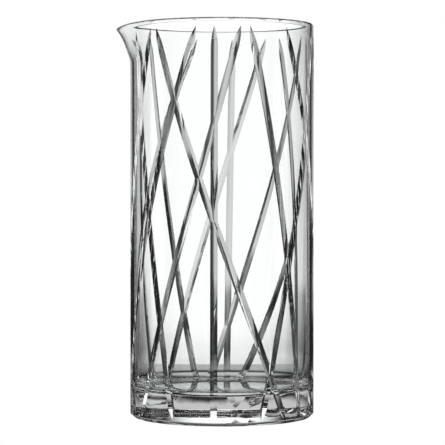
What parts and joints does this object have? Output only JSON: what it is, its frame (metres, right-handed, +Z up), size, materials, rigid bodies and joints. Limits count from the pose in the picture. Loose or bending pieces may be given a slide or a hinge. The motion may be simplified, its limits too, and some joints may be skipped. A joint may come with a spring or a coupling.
{
  "type": "mixing glass",
  "caption": "Tall straight-sided cut-crystal mixing glass with a heavy solid base, crossing V-shaped mitre cuts and a small pouring spout in the rim.",
  "frame": {"origin": "centre of the flat foot, on the surface that the glass stands on", "axes": "+Z up along the axis of the glass; the spout points along -X, turned 4 degrees towards +Y; -Y is the front"},
  "size_m": [0.0919, 0.086, 0.1835],
  "materials": {
    "clear_crystal": "polished clear crystal with polished mitre cuts"
  },
  "bodies": {
    "root": {"glass_body": "clear_crystal"}
  },
  "joints": []
}
